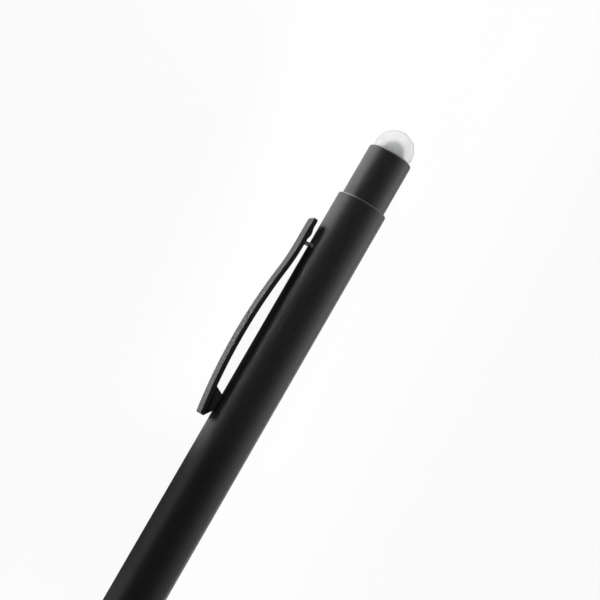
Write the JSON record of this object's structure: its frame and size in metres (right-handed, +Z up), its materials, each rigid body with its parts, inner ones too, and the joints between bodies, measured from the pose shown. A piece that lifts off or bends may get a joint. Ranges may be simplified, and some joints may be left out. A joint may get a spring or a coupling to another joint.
{
  "type": "ballpoint pen",
  "caption": "Click-action ballpoint pen with a straight black metal barrel, a sprung clip and a white stylus dome on its push button.",
  "frame": {"origin": "centre of the pen's outline on the table, at the table's surface", "axes": "+X along the pen towards the stylus dome, +Y across the pen towards the clip, +Z up from the table"},
  "size_m": [0.1398, 0.0138, 0.01],
  "materials": {
    "black_lacquer": "satin",
    "clip_lacquer": "satin",
    "spring_steel": "polished",
    "silicone": "matte",
    "brass": "turned",
    "white_moulding": "satin",
    "grey_moulding": "satin",
    "rotor_moulding": "satin",
    "refill_metal": "brushed",
    "point_metal": "turned",
    "ball_carbide": "polished",
    "cap_plastic": "satin",
    "ink_paste": "wet"
  },
  "bodies": {
    "barrel": {"barrel": "black_lacquer", "thread_bush": "brass", "cam_housing": "white_moulding", "return_spring": "spring_steel"},
    "nose": {"nose_cone": "black_lacquer"},
    "clip": {"clip": "clip_lacquer", "clip_foot": "spring_steel"},
    "button": {"button_sleeve": "black_lacquer", "stylus_dome": "silicone", "dome_holder": "grey_moulding", "thrust_stem": "grey_moulding"},
    "rotor": {"rotor": "rotor_moulding"},
    "refill": {"refill_tube": "refill_metal", "refill_point": "point_metal", "refill_end_cap": "cap_plastic", "ink": "ink_paste"},
    "ball": {"writing_ball": "ball_carbide"}
  },
  "joints": [
    {"name": "button_press", "type": "slide", "parent": "barrel", "child": "button", "axis": [-1, 0, 0], "range_m": [0, 0.0055], "stiffness_N_per_m": 500, "springref_m": -0.005, "deforming": ["return_spring"]},
    {"name": "rotor_feed", "type": "slide", "parent": "barrel", "child": "rotor", "axis": [-1, 0, 0], "range_m": [0, 0.0055]},
    {"name": "refill_feed", "type": "slide", "parent": "barrel", "child": "refill", "axis": [-1, 0, 0], "range_m": [0, 0.0055]},
    {"name": "ball_roll", "type": "hinge", "parent": "refill", "child": "ball", "pos_m": [-0.06794, -0.00187, 0.005], "axis": [0, 1, 0], "continuous": true},
    {"name": "clip_flex", "type": "hinge", "parent": "barrel", "child": "clip", "pos_m": [0.04238, 0.00154, 0.00379], "axis": [0, -0.3348, -0.9423], "range_deg": [0, 5], "stiffness_Nm_per_rad": 2.4, "springref_deg": -1.15},
    {"name": "nose_cone_off", "type": "slide", "parent": "barrel", "child": "nose", "axis": [-1, 0, 0], "range_m": [0, 0.032]}
  ],
  "couplings": [
    {"joint": "rotor_feed", "follows": "button_press", "ratio": 1},
    {"joint": "refill_feed", "follows": "button_press", "ratio": 1}
  ]
}
